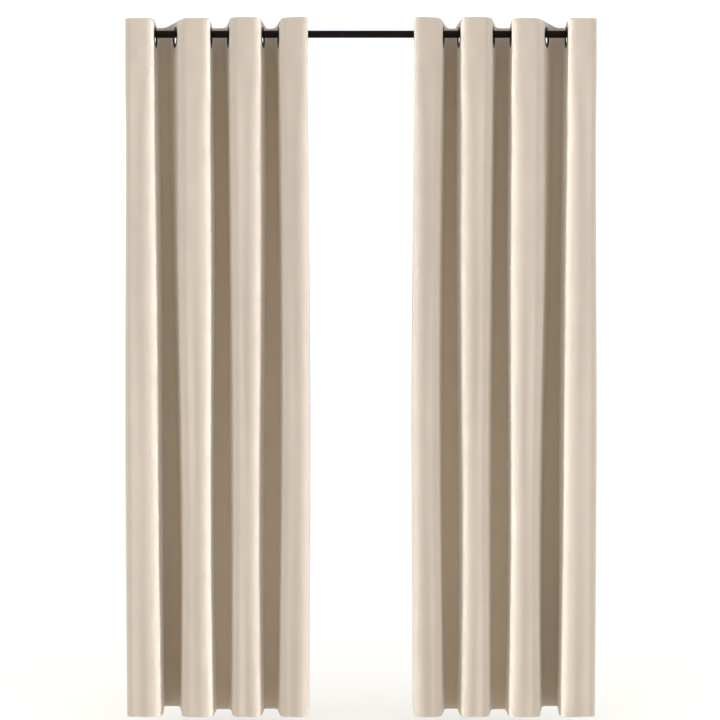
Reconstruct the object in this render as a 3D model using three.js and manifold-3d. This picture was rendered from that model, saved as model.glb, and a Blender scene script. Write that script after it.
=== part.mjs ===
// A pair of grommet-top window curtains on a telescoping wall rod.
//
// The origin is on the wall, midway between the two brackets and level with the rod's axis.
// +X runs to the right along the rod, +Y into the wall and +Z up, so the curtains face -Y.
// The left panel is drawn from its outer edge inwards, and the right panel is its mirror image.

import * as THREE from 'three';
import { mergeVertices } from 'three/addons/utils/BufferGeometryUtils.js';
import Module from 'manifold-3d';

const wasm = await Module();
wasm.setup();

// Driving dimensions, in millimetres and degrees.
const GAP = 0.3; // left between pieces that touch

const PANEL_LENGTH = 2134; // an 84 inch panel
const HEADER_RISE = 37; // cloth above the rod's axis
const HEADER_HEIGHT = 100; // turned-down band that the grommets go through
const SIDE_MARGIN = 50; // cloth past the first and the last grommet
const CLOTH = 0.6; // thickness of one layer
const TAPE = 0.4; // thickness of the stiffening tape

const FIRST_GROMMET_X = -715; // the left panel's outermost grommet
const FOLD_WIDTHS = [79, 63, 109, 55, 105, 50, 88]; // between grommets: front, back, front, ...
const WALL_LEANS = [-9, 0, 20, 1, 12, -5, 8, 3]; // of the cloth at each grommet, from square to the rod
const FRONT_DEPTH = 50; // from the rod's axis to the front of a fold
const BACK_DEPTH = 67;
const FRONT_RADIUS = 16; // at a fold's corners
const BACK_RADIUS = 14;
const CORNER_STEPS = 2;

const ROD_PROJECTION = 90; // the wall to the rod's axis
const ROD_RADIUS = 11.1;
const TUBE_WALL = 0.8;
const OUTER_TUBE_X = [-719, 700];
const INNER_TUBE_X = [100, 719];
const INNER_TUBE_RADIUS = 9.8;
const TUBE_SIDES = 24;
const BUSH_LENGTH = 6;
const BUSH_WALL = 1.5;
const CAP_RADIUS = 13.5;
const CAP_LENGTH = 4;
const CAP_PLUG = 12; // length inside the tube
const CAP_CHAMFER = 2;

const GROMMET_BORE = 21.5; // radius
const GROMMET_RADIUS = 32;
const GROMMET_SHELL = 1; // thickness of each flange
const BARREL_WALL = 0.9;
const GROMMET_SIDES = 12;

const BRACKET_X = 688;
const ARM_WIDTH = 12;
const ARM_HEIGHT = 8;
const CRADLE_WALL = 4;
const CRADLE_LIP = 7; // height of the cradle's lips above the rod's axis
const FOOT_THICKNESS = 4;
const FOOT_REACH = 14; // above and below the arm
const PLATE_WIDTH = 36;
const PLATE_HEIGHT = 84;
const PLATE_THICKNESS = 3;
const WALL_SCREW_PITCH = 56;
const WALL_SCREW_HOLE = 2.8; // radius
const WALL_SCREW_HEAD = { radius: 4.6, height: 2.6 };
const SET_SCREW_RADIUS = 2.2;
const SET_SCREW_HEAD = { radius: 6.5, height: 5 };
const SCREW_SIDES = 12;
const HEAD_BEVEL = { from: 0.7, top: 0.8 }; // shares of a screw head's height and radius
const ARC_STEPS = 8; // in a bracket piece's rounded edges

const CLOTH_LOOK = { color: 0xdbd0be, roughness: 0.85, metalness: 0 };
const TAPE_LOOK = { color: 0xeeeae0, roughness: 0.9, metalness: 0 };
const ROD_LOOK = { color: 0x16130f, roughness: 0.45, metalness: 0.3 };
const GROMMET_LOOK = { color: 0x2b231c, roughness: 0.35, metalness: 0.2 };
const BUSH_LOOK = { color: 0x1a1a1a, roughness: 0.7, metalness: 0 };
const SCREW_LOOK = { color: 0x2a2a2b, roughness: 0.4, metalness: 0.7 };

// Worked-out dimensions.
const LOOSE_FIT = 1.5 * GAP; // round a turned piece in its hole, as both have flat sides
const HEADER_TOP = HEADER_RISE;
const HEM_BOTTOM = HEADER_TOP - PANEL_LENGTH;
const LAYER_INNER = TAPE / 2 + GAP; // a layer of the header, measured from its middle
const LAYER_OUTER = LAYER_INNER + CLOTH;
const FLANGE_INNER = LAYER_OUTER + GAP; // a grommet's flange, measured from the header's middle
const FLANGE_OUTER = FLANGE_INNER + GROMMET_SHELL;
const GROMMET_FLAT = GROMMET_BORE * Math.cos(Math.PI / GROMMET_SIDES); // to the bore's flat sides
const GROMMET_DROP = GROMMET_FLAT - ROD_RADIUS - GAP; // a grommet hangs on top of the rod
const CLOTH_HOLE = GROMMET_BORE + BARREL_WALL + 2.5 * GAP;
const CRADLE_RADIUS = ROD_RADIUS + GAP;
const ARM_BOTTOM = -(CRADLE_RADIUS + CRADLE_WALL);
const ARM_MIDDLE = ARM_BOTTOM + ARM_HEIGHT / 2;
const SET_SCREW_SHANK = CRADLE_WALL + 4 * GAP; // its head stays just clear of the cradle

const radians = THREE.MathUtils.degToRad;

// The shared vertices of a closed geometry merged, with its faces pointing out.
function closed(geometry) {
  const bare = geometry.clone();
  bare.deleteAttribute('normal');
  bare.deleteAttribute('uv');
  const merged = mergeVertices(bare);
  return signedVolume(merged) < 0 ? turnedInsideOut(merged) : merged;
}

function signedVolume(geometry) {
  const { position } = geometry.attributes;
  const index = geometry.index.array;
  const [a, b, c] = [new THREE.Vector3(), new THREE.Vector3(), new THREE.Vector3()];
  let volume = 0;
  for (let i = 0; i < index.length; i += 3) {
    a.fromBufferAttribute(position, index[i]);
    b.fromBufferAttribute(position, index[i + 1]);
    c.fromBufferAttribute(position, index[i + 2]);
    volume += a.dot(b.cross(c)) / 6;
  }
  return volume;
}

function turnedInsideOut(geometry) {
  const index = geometry.index.array;
  for (let i = 0; i < index.length; i += 3) {
    [index[i + 1], index[i + 2]] = [index[i + 2], index[i + 1]];
  }
  return geometry;
}

function mirrored(geometry) {
  return closed(geometry.clone().scale(-1, 1, 1));
}

function toSolid(geometry) {
  const { attributes, index } = closed(geometry);
  const vertProperties = new Float32Array(attributes.position.array);
  const triVerts = new Uint32Array(index.array);
  return new wasm.Manifold(new wasm.Mesh({ numProp: 3, vertProperties, triVerts }));
}

function toGeometry(solid) {
  const { vertProperties, triVerts } = solid.getMesh();
  const geometry = new THREE.BufferGeometry();
  geometry.setAttribute('position', new THREE.BufferAttribute(vertProperties, 3));
  geometry.setIndex(new THREE.BufferAttribute(triVerts, 1));
  return geometry;
}

function makeMesh(name, geometry, look) {
  const mesh = new THREE.Mesh(closed(geometry), new THREE.MeshStandardMaterial(look));
  mesh.name = name;
  return mesh;
}

// A profile of [radius, x] points turned about the X axis.
function turned(profile, sides) {
  const points = profile.map(([radius, x]) => new THREE.Vector2(radius, x));
  return new THREE.LatheGeometry(points, sides).rotateZ(-Math.PI / 2);
}

// A hollow turned piece: the rectangle between two radii and two x positions.
function turnedRing(inner, outer, [from, to], sides) {
  return turned([[inner, from], [outer, from], [outer, to], [inner, to], [inner, from]], sides);
}

function extruded(shape, depth, curveSegments) {
  return new THREE.ExtrudeGeometry(shape, { depth, bevelEnabled: false, curveSegments });
}

// ---- Curtain panel ----

// Where the left panel's grommets are and how far the cloth leans there.
function grommetPlaces() {
  let x = FIRST_GROMMET_X;
  return WALL_LEANS.map((lean, i) => {
    x += i > 0 ? FOLD_WIDTHS[i - 1] : 0;
    return { x, lean: radians(lean), facesIn: i % 2 === 1 };
  });
}

// The point of the cloth at a grommet, y behind the rod's axis.
function wallPoint({ x, lean }, y) {
  return new THREE.Vector2(x - y * Math.tan(lean), y);
}

// The panel's line seen from above: it weaves in front of the rod and behind it in turn.
function foldLine() {
  const places = grommetPlaces();
  const corners = [];
  places.slice(1).forEach((next, i) => {
    const inFront = i % 2 === 0;
    const y = inFront ? -FRONT_DEPTH : BACK_DEPTH;
    const radius = inFront ? FRONT_RADIUS : BACK_RADIUS;
    corners.push({ point: wallPoint(places[i], y), radius }, { point: wallPoint(next, y), radius });
  });
  const start = wallPoint(places[0], SIDE_MARGIN);
  const end = wallPoint(places.at(-1), SIDE_MARGIN);
  const stops = [start, ...corners.map((corner) => corner.point), end];
  const line = new THREE.Path();
  line.moveTo(start.x, start.y);
  corners.forEach(({ point, radius }, i) => {
    const before = towards(point, stops[i], radius);
    const after = towards(point, stops[i + 2], radius);
    line.lineTo(before.x, before.y);
    line.quadraticCurveTo(point.x, point.y, after.x, after.y);
  });
  line.lineTo(end.x, end.y);
  return line.getPoints(CORNER_STEPS);
}

function towards(from, to, distance) {
  return to.clone().sub(from).setLength(distance).add(from);
}

// The fold line moved sideways by an offset, towards the cloth's face where that is positive.
function offsetLine(line, offset) {
  return line.map((point, i) => {
    const back = point.clone().sub(line[Math.max(i - 1, 0)]).normalize();
    const ahead = line[Math.min(i + 1, line.length - 1)].clone().sub(point).normalize();
    const along = back.clone().add(ahead).normalize();
    const stretch = 1 / (i > 0 && i < line.length - 1 ? along.dot(ahead) : 1);
    return new THREE.Vector2(along.y, -along.x).multiplyScalar(offset * stretch).add(point);
  });
}

// A band of cloth between two offsets from the fold line and between two heights.
function band(line, from, to, bottom, top) {
  const outline = [...offsetLine(line, from), ...offsetLine(line, to).reverse()];
  return extruded(new THREE.Shape(outline), top - bottom, 1).translate(0, 0, bottom);
}

function withGrommetHoles(solid) {
  return grommetPlaces().reduce((cloth, { x, lean }) => {
    const through = turnedPlug(CLOTH_HOLE, 8 * LAYER_OUTER).rotateZ(lean).translate(x, 0, -GROMMET_DROP);
    return cloth.subtract(toSolid(through));
  }, solid);
}

// A solid rod along X, centred on the origin.
function turnedPlug(radius, length, sides = GROMMET_SIDES) {
  return turned([[0, -length / 2], [radius, -length / 2], [radius, length / 2], [0, length / 2]], sides);
}

// One sheet of cloth, with its top turned down behind the tape.
function panelGeometry(line) {
  const headerBottom = HEADER_TOP - HEADER_HEIGHT;
  const face = toSolid(band(line, LAYER_INNER, LAYER_OUTER, HEM_BOTTOM, headerBottom + CLOTH));
  const header = toSolid(band(line, -LAYER_OUTER, LAYER_OUTER, headerBottom, HEADER_TOP));
  const pocket = toSolid(band(line, -LAYER_INNER, LAYER_INNER, headerBottom - CLOTH, HEADER_TOP - CLOTH));
  return toGeometry(withGrommetHoles(header.subtract(pocket).add(face)));
}

function tapeGeometry(line) {
  const bottom = HEADER_TOP - HEADER_HEIGHT;
  const top = HEADER_TOP - CLOTH - GAP;
  return toGeometry(withGrommetHoles(toSolid(band(line, -TAPE / 2, TAPE / 2, bottom, top))));
}

// The half that shows on the cloth's face: a flange and the barrel through the cloth.
function grommetFace() {
  const barrel = GROMMET_BORE + BARREL_WALL;
  return turned([
    [GROMMET_BORE, -FLANGE_OUTER],
    [barrel, -FLANGE_OUTER],
    [barrel, FLANGE_INNER],
    [GROMMET_RADIUS, FLANGE_INNER],
    [GROMMET_RADIUS - GROMMET_SHELL, FLANGE_OUTER],
    [GROMMET_BORE, FLANGE_OUTER],
    [GROMMET_BORE, -FLANGE_OUTER],
  ], GROMMET_SIDES);
}

// The half that snaps onto the barrel behind the cloth.
function grommetBack() {
  return turned([
    [CLOTH_HOLE, -FLANGE_OUTER],
    [GROMMET_RADIUS - GROMMET_SHELL, -FLANGE_OUTER],
    [GROMMET_RADIUS, -FLANGE_INNER],
    [CLOTH_HOLE, -FLANGE_INNER],
    [CLOTH_HOLE, -FLANGE_OUTER],
  ], GROMMET_SIDES);
}

function addPanel(rod, side) {
  const mirror = side === 'right';
  const placed = (geometry) => (mirror ? mirrored(geometry) : geometry);
  const line = foldLine();
  rod.add(makeMesh(`${side}_curtain_panel`, placed(panelGeometry(line)), CLOTH_LOOK));
  rod.add(makeMesh(`${side}_header_tape`, placed(tapeGeometry(line)), TAPE_LOOK));
  grommetPlaces().forEach(({ x, lean, facesIn }, i) => {
    const grommet = new THREE.Group();
    const turn = facesIn ? lean : lean + Math.PI;
    grommet.position.set(mirror ? -x : x, 0, -GROMMET_DROP);
    grommet.rotation.z = mirror ? Math.PI - turn : turn;
    grommet.add(makeMesh(`${side}_grommet_${i + 1}_face`, grommetFace(), GROMMET_LOOK));
    grommet.add(makeMesh(`${side}_grommet_${i + 1}_back`, grommetBack(), GROMMET_LOOK));
    rod.add(grommet);
  });
}

// ---- Rod ----

// An end cap about the X axis: its plug reaches back into a tube that ends at x = 0.
function capGeometry(boreRadius) {
  const plug = boreRadius - LOOSE_FIT;
  return turned([
    [0, -CAP_PLUG],
    [plug, -CAP_PLUG],
    [plug, GAP],
    [CAP_RADIUS, GAP],
    [CAP_RADIUS, GAP + CAP_LENGTH - CAP_CHAMFER],
    [CAP_RADIUS - CAP_CHAMFER, GAP + CAP_LENGTH],
    [0, GAP + CAP_LENGTH],
  ], TUBE_SIDES);
}

function addRod(rod) {
  const outerBore = ROD_RADIUS - TUBE_WALL;
  const innerBore = INNER_TUBE_RADIUS - TUBE_WALL;
  const outerTube = turnedRing(outerBore, ROD_RADIUS, OUTER_TUBE_X, TUBE_SIDES);
  const innerTube = turnedRing(innerBore, INNER_TUBE_RADIUS, INNER_TUBE_X, TUBE_SIDES);
  rod.add(makeMesh('outer_tube', outerTube, ROD_LOOK));
  rod.add(makeMesh('inner_tube', innerTube, ROD_LOOK));

  const mouth = OUTER_TUBE_X[1] + GAP;
  const bushBore = INNER_TUBE_RADIUS + GAP;
  const bush = turnedRing(bushBore, bushBore + BUSH_WALL, [mouth, mouth + BUSH_LENGTH], TUBE_SIDES);
  rod.add(makeMesh('tube_mouth_bush', bush, BUSH_LOOK));

  const leftCap = makeMesh('left_end_cap', capGeometry(outerBore), ROD_LOOK);
  leftCap.position.x = OUTER_TUBE_X[0];
  leftCap.rotation.z = Math.PI;
  const rightCap = makeMesh('right_end_cap', capGeometry(innerBore), ROD_LOOK);
  rightCap.position.x = INNER_TUBE_X[1];
  rod.add(leftCap, rightCap);
}

// ---- Wall bracket ----

// A bracket's own origin is on the wall, level with the rod's axis.
const FROM_THE_SIDE = new THREE.Matrix4().makeBasis(
  new THREE.Vector3(0, 1, 0),
  new THREE.Vector3(0, 0, 1),
  new THREE.Vector3(1, 0, 0),
);
const FROM_THE_FRONT = new THREE.Matrix4().makeBasis(
  new THREE.Vector3(1, 0, 0),
  new THREE.Vector3(0, 0, 1),
  new THREE.Vector3(0, -1, 0),
);

// A flat plate with round ends and two screw holes.
function plateGeometry() {
  const radius = PLATE_WIDTH / 2;
  const straight = PLATE_HEIGHT / 2 - radius;
  const shape = new THREE.Shape();
  shape.absarc(0, straight, radius, 0, Math.PI);
  shape.absarc(0, -straight, radius, Math.PI, 2 * Math.PI);
  shape.closePath();
  for (const z of [-WALL_SCREW_PITCH / 2, WALL_SCREW_PITCH / 2]) {
    const hole = new THREE.Path();
    hole.absarc(0, z, WALL_SCREW_HOLE, 0, 2 * Math.PI);
    shape.holes.push(hole);
  }
  return extruded(shape, PLATE_THICKNESS, ARC_STEPS).applyMatrix4(FROM_THE_FRONT).translate(0, 0, ARM_MIDDLE);
}

// Seen from the side: a cradle open at the top, a bar back to the wall, and a foot on the plate.
function armGeometry() {
  const outside = -ARM_BOTTOM;
  const barTop = ARM_BOTTOM + ARM_HEIGHT;
  const footBack = ROD_PROJECTION - PLATE_THICKNESS - GAP;
  const footFront = footBack - FOOT_THICKNESS;
  const barMeetsCradle = Math.asin(barTop / outside);
  const shape = new THREE.Shape();
  shape.moveTo(-outside, CRADLE_LIP);
  shape.absarc(0, 0, outside, Math.PI, 1.5 * Math.PI);
  shape.lineTo(footFront, ARM_BOTTOM);
  shape.lineTo(footFront, ARM_BOTTOM - FOOT_REACH);
  shape.lineTo(footBack, ARM_BOTTOM - FOOT_REACH);
  shape.lineTo(footBack, barTop + FOOT_REACH);
  shape.lineTo(footFront, barTop + FOOT_REACH);
  shape.lineTo(footFront, barTop);
  shape.absarc(0, 0, outside, barMeetsCradle, 0);
  shape.lineTo(outside, CRADLE_LIP);
  shape.lineTo(CRADLE_RADIUS, CRADLE_LIP);
  shape.absarc(0, 0, CRADLE_RADIUS, 0, -Math.PI, true);
  shape.lineTo(-CRADLE_RADIUS, CRADLE_LIP);
  shape.closePath();
  const arm = extruded(shape, ARM_WIDTH, ARC_STEPS).applyMatrix4(FROM_THE_SIDE);
  const holeLength = 2 * CRADLE_WALL;
  const hole = turnedPlug(SET_SCREW_RADIUS + LOOSE_FIT, holeLength, SCREW_SIDES)
    .rotateZ(Math.PI / 2)
    .translate(ARM_WIDTH / 2, -CRADLE_RADIUS - CRADLE_WALL / 2, 0);
  const drilled = toGeometry(toSolid(arm).subtract(toSolid(hole)));
  return drilled.translate(-ARM_WIDTH / 2, -ROD_PROJECTION, 0);
}

// A screw along the X axis: its tip is at x = 0 and its head at the far end.
function screwGeometry(radius, shank, head) {
  return turned([
    [0, 0],
    [radius, 0],
    [radius, shank],
    [head.radius, shank],
    [head.radius, shank + head.height * HEAD_BEVEL.from],
    [head.radius * HEAD_BEVEL.top, shank + head.height],
    [0, shank + head.height],
  ], SCREW_SIDES);
}

// The same screw with its head towards the room.
function screwMesh(name, radius, shank, head, y, z) {
  const mesh = makeMesh(name, screwGeometry(radius, shank, head), SCREW_LOOK);
  mesh.rotation.z = -Math.PI / 2;
  mesh.position.set(0, y, z);
  return mesh;
}

function makeBracket(side) {
  const bracket = new THREE.Group();
  bracket.position.x = side === 'left' ? -BRACKET_X : BRACKET_X;
  bracket.add(makeMesh(`${side}_wall_plate`, plateGeometry(), ROD_LOOK));
  bracket.add(makeMesh(`${side}_bracket_arm`, armGeometry(), ROD_LOOK));

  const tip = -ROD_PROJECTION - CRADLE_RADIUS;
  bracket.add(screwMesh(`${side}_set_screw`, SET_SCREW_RADIUS, SET_SCREW_SHANK, SET_SCREW_HEAD, tip, 0));

  const wallScrewRadius = WALL_SCREW_HOLE - LOOSE_FIT;
  for (const [place, sign] of [['upper', 1], ['lower', -1]]) {
    const z = ARM_MIDDLE + (sign * WALL_SCREW_PITCH) / 2;
    const name = `${side}_wall_screw_${place}`;
    bracket.add(screwMesh(name, wallScrewRadius, PLATE_THICKNESS, WALL_SCREW_HEAD, -GAP, z));
  }
  return bracket;
}

// ---- Assembly ----

const curtains = new THREE.Group();
const rod = new THREE.Group();
rod.position.y = -ROD_PROJECTION;
addRod(rod);
addPanel(rod, 'left');
addPanel(rod, 'right');
curtains.add(rod, makeBracket('left'), makeBracket('right'));

export default curtains;
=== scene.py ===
"""Two grommet-top curtain panels on a telescoping rod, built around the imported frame.

Lengths are in metres, in the frame's axes: +X along the rod, +Y into the wall, +Z up.
Each panel is drawn as the left one, with "in" meaning towards the gap between the panels, and the
right panel is its mirror image.
"""

import math

import bmesh
import bpy
import numpy as np
from mathutils import Matrix, Vector


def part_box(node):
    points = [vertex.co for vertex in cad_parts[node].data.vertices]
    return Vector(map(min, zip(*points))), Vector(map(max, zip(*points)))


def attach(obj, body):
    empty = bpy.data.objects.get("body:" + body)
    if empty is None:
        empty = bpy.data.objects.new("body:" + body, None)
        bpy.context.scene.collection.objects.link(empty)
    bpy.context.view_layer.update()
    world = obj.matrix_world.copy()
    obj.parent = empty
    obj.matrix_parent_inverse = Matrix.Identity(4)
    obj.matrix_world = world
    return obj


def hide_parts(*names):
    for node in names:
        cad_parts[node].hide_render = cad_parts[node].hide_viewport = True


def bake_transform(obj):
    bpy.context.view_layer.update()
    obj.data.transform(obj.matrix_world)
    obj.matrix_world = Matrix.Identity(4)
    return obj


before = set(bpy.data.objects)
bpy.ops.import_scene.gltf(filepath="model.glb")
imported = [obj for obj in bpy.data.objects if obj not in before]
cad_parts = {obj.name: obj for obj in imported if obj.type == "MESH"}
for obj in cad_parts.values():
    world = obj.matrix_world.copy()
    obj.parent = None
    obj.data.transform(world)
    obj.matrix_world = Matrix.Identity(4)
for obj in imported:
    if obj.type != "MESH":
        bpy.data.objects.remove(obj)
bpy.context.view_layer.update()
MM = 0.001

# ---- Places read from the frame ----


def node_centre(*nodes):
    """The middle of the box round some CAD nodes."""
    corners = [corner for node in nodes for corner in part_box(node)]
    low = Vector([min(c[i] for c in corners) for i in range(3)])
    high = Vector([max(c[i] for c in corners) for i in range(3)])
    return (low + high) / 2


def node_size(node):
    """The size of the box round a CAD node."""
    low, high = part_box(node)
    return high - low


GROMMETS = 8
ROD_AXIS = node_centre("outer_tube")
ROD_RADIUS = node_size("outer_tube").z / 2
INNER_TUBE_RADIUS = node_size("inner_tube").z / 2
GROMMET_RADIUS = node_size("left_grommet_1_face").z / 2
PANEL_LOW, PANEL_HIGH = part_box("left_curtain_panel")
TAPE_LOW, TAPE_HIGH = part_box("left_header_tape")
HEADER_BOTTOM = TAPE_LOW.z
RINGS = [node_centre(f"left_grommet_{i}_face", f"left_grommet_{i}_back") for i in range(1, GROMMETS + 1)]

# ---- The cloth's own sizes ----

CLOTH = 0.5 * MM
HEM_STEP = CLOTH + 0.1 * MM  # from a layer to the side hem turned in behind it
LAYER = 1.5 * HEM_STEP  # from the middle of the header or the bottom hem to either of its layers
HEM_HEIGHT = 80 * MM
SIDE_HEM = 26 * MM
SIDE_MARGIN = TAPE_HIGH.y - ROD_AXIS.y  # from the rod's axis back to the panel's two side edges
FLAT_TOP = RINGS[0].z + 18 * MM  # the grommets hold the cloth flat up to here
STEP = 5.5 * MM  # between columns of the mesh
FRONT_DEPTH = 50 * MM  # from the rod's axis to the front of a fold
BACK_DEPTH = 67 * MM
HOLE_RADIUS = 23.5 * MM
HOLE_REACH = 12 * MM  # along a grommet's axis, to find the cloth that its hole goes through
MIRROR = np.array([-1, 1, 1])

# The cloth crosses the rod at each grommet, from the outer edge in: its lean from square to the rod in
# degrees, at its top edge, through its grommet and at the hem; then how far in it is at the hem, how far
# it bows in half-way down, and how far it sways in above half-way and out below, in millimetres.
WALLS = [
    (-9, -9, -9, 3, -4, 0),
    (5, 0, 5.5, 24, 2, 2),
    (32, 20, 10, 18, 4, -4.5),
    (3, 1, 2, 13, -1, 4),
    (13, 12, 10, 11, 5, 0),
    (-6, -5, 0, 0, -1.5, 3),
    (14, 8, 7, 1, 9, 0),
    (3, 3, 0, 3, 5, 0),
]
FOLD_TOPS = [0, 0, 0, -1, 3, -2.5, 2]  # how far each fold's top edge stands above the first's, in mm
FRONT_TILTS = [2, 4, 5, 8]  # how much further out each front fold stands at its inner side, in mm
LEANS = [math.radians(wall[1]) for wall in WALLS]
BACKS_AT_HEM = [75 * MM, 40 * MM, 44 * MM]  # the back folds' depths at the hem, from the rod's axis
FRONT_HOLLOW = 3 * MM  # of a front fold's face, below the header
FREE_BY = 1 / 7  # the share of the way down by which the cloth has left its header's shape

# Where the cloth turns from a wall to a fold's face, it leaves the wall this far from the corner, and
# meets the face at this share of the face's width: first in the header, then below it.
OUTER_TURN = [(16 * MM, 0.24), (20 * MM, 0.26)]
INNER_TURN = [(16 * MM, 0.26), (34 * MM, 0.42)]
INTO_BACK_TURN = [(10 * MM, 0.12), (14 * MM, 0.15)]
OUT_OF_BACK_TURN = [(24 * MM, 0.40), (22 * MM, 0.30)]


# ---- Meshes ----

SHARP = math.radians(40)  # two faces that turn by more than this meet in an edge that shows
SHARP_IN_CLOTH = math.radians(50)
SHARP_CUT = math.radians(35)
SAME_PLACE = 0.001 * MM
SIDES_PER_FLUTE = 4


def link(obj):
    bpy.context.scene.collection.objects.link(obj)
    return obj


def new_object(name, vertices, faces):
    mesh = bpy.data.meshes.new(name)
    mesh.from_pydata([tuple(v) for v in vertices], [], [tuple(f) for f in faces])
    mesh.shade_smooth()
    mesh.set_sharp_from_angle(angle=SHARP)
    return link(bpy.data.objects.new(name, mesh))


def apply_modifiers(obj):
    depsgraph = bpy.context.evaluated_depsgraph_get()
    mesh = bpy.data.meshes.new_from_object(obj.evaluated_get(depsgraph))
    obj.modifiers.clear()
    obj.data = mesh
    mesh.name = obj.name


def weld_and_face_out(obj):
    """Joins the vertices that share a place and turns every face outwards."""
    work = bmesh.new()
    work.from_mesh(obj.data)
    bmesh.ops.remove_doubles(work, verts=work.verts, dist=SAME_PLACE)
    bmesh.ops.recalc_face_normals(work, faces=work.faces)
    work.to_mesh(obj.data)
    work.free()
    obj.data.set_sharp_from_angle(angle=SHARP)


def grid_quads(rows, columns, closed=False):
    """The quads of a grid of points; a closed one joins its last column to its first."""
    index = np.arange(rows * columns).reshape(rows, columns)
    if closed:
        index = np.hstack([index, index[:, :1]])
    corners = [index[:-1, :-1], index[:-1, 1:], index[1:, 1:], index[1:, :-1]]
    return np.stack(corners, axis=-1).reshape(-1, 4)


def arc_points(centre, radius, start, end, steps=5):
    """Points of an arc, as pairs; its angles are in degrees."""
    turns = np.radians(np.linspace(start, end, steps))
    return [(centre[0] + radius * math.cos(a), centre[1] + radius * math.sin(a)) for a in turns]


def lathe(name, profile, sides, flute=None):
    """A profile of (radius, x) points turned about the X axis. flute(x) is the depth of its flutes at x,
    as a share of the radius."""
    angles = np.linspace(0, 2 * math.pi, sides, endpoint=False)
    flutes = np.cos(angles * sides / SIDES_PER_FLUTE)
    rings = []
    for radius, x in profile:
        out = radius * (1 + flutes * (flute(x) if flute else 0))
        rings.append(np.stack([np.full(sides, float(x)), out * np.cos(angles), out * np.sin(angles)], -1))
    obj = new_object(name, np.concatenate(rings), grid_quads(len(profile), sides, closed=True))
    weld_and_face_out(obj)
    return obj


# ---- Materials ----

CLOTH_MAP = "cloth"  # the map of where each point of a sheet is on the flat cloth


class Shader:
    """A node tree that ends in one shader, and short ways to add nodes to it."""

    def __init__(self, owner, kind):
        owner.use_nodes = True
        self.tree = owner.node_tree
        self.surface = self.tree.nodes[kind]

    def set(self, socket, value):
        self.surface.inputs[socket].default_value = value

    def wire(self, output, socket):
        self.tree.links.new(output, self.surface.inputs[socket])

    def node(self, kind, links=None, **settings):
        """A new node: links fill its sockets by name or number, and settings its other fields."""
        node = self.tree.nodes.new(kind)
        for field, value in settings.items():
            setattr(node, field, value)
        for socket, value in (links or {}).items():
            if isinstance(value, bpy.types.NodeSocket):
                self.tree.links.new(value, node.inputs[socket])
            else:
                node.inputs[socket].default_value = value
        return node

    def math(self, operation, first, second=0.0):
        return self.node("ShaderNodeMath", {0: first, 1: second}, operation=operation).outputs[0]

    def noise(self, place, scale, detail):
        links = {"Vector": place, "Scale": scale, "Detail": detail}
        return self.node("ShaderNodeTexNoise", links).outputs["Fac"]

    def blend(self, share, first, second):
        """The first colour where share is 0, and the second where it is 1."""
        links = {0: share, 6: (*first, 1), 7: (*second, 1)}
        return self.node("ShaderNodeMix", links, data_type="RGBA").outputs[2]


class Material(Shader):
    """A Principled material."""

    def __init__(self, name, colour, roughness, **sockets):
        self.material = bpy.data.materials.new(name)
        super().__init__(self.material, "Principled BSDF")
        self.set("Base Color", (*colour, 1))
        self.set("Roughness", roughness)
        for socket, value in sockets.items():
            self.set(socket.replace("_", " "), value)

    def tint(self, share, dark, pale, dark_at, pale_at):
        """Colours the surface from dark to pale as share goes from dark_at to pale_at."""
        ramp = self.node("ShaderNodeValToRGB", {0: share})
        first, last = ramp.color_ramp.elements
        first.position = dark_at
        first.color = (*dark, 1)
        last.position = pale_at
        last.color = (*pale, 1)
        self.wire(ramp.outputs[0], "Base Color")

    def roughen(self, share, smooth, rough, low=0.3, high=0.7):
        """Takes the roughness from smooth to rough as share goes from low to high. Most of a noise lies
        from 0.3 to 0.7."""
        spread = self.node("ShaderNodeMapRange", {0: share, 1: low, 2: high, 3: smooth, 4: rough})
        self.wire(spread.outputs[0], "Roughness")

    def bump(self, height, strength, distance):
        links = {"Height": height, "Strength": strength, "Distance": distance}
        self.wire(self.node("ShaderNodeBump", links).outputs[0], "Normal")


def shade(colour, factor):
    return tuple(channel * factor for channel in colour)


def weave_height(shader, place, pitch):
    """A plain weave seen along place's x and y: two crossed waves, each over and under in turn."""
    axes = shader.node("ShaderNodeSeparateXYZ", {0: place})
    waves = []
    for axis in ("X", "Y"):
        turns = shader.math("MULTIPLY", axes.outputs[axis], math.pi / pitch)
        waves.append(shader.math("SINE", turns))
    yarns = shader.math("MAXIMUM", *[shader.math("ABSOLUTE", wave) for wave in waves])
    over_and_under = shader.math("MULTIPLY", *waves)
    return shader.math("ADD", yarns, shader.math("MULTIPLY", over_and_under, 0.5))


def slubs(shader, place, along, across):
    """Streaks as long as along and as wide as across, in place's x and y."""
    stretched = shader.node("ShaderNodeMapping", {"Vector": place, "Scale": (1 / along, 1 / across, 1)})
    return shader.noise(stretched.outputs[0], scale=1.0, detail=2.0)


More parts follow.
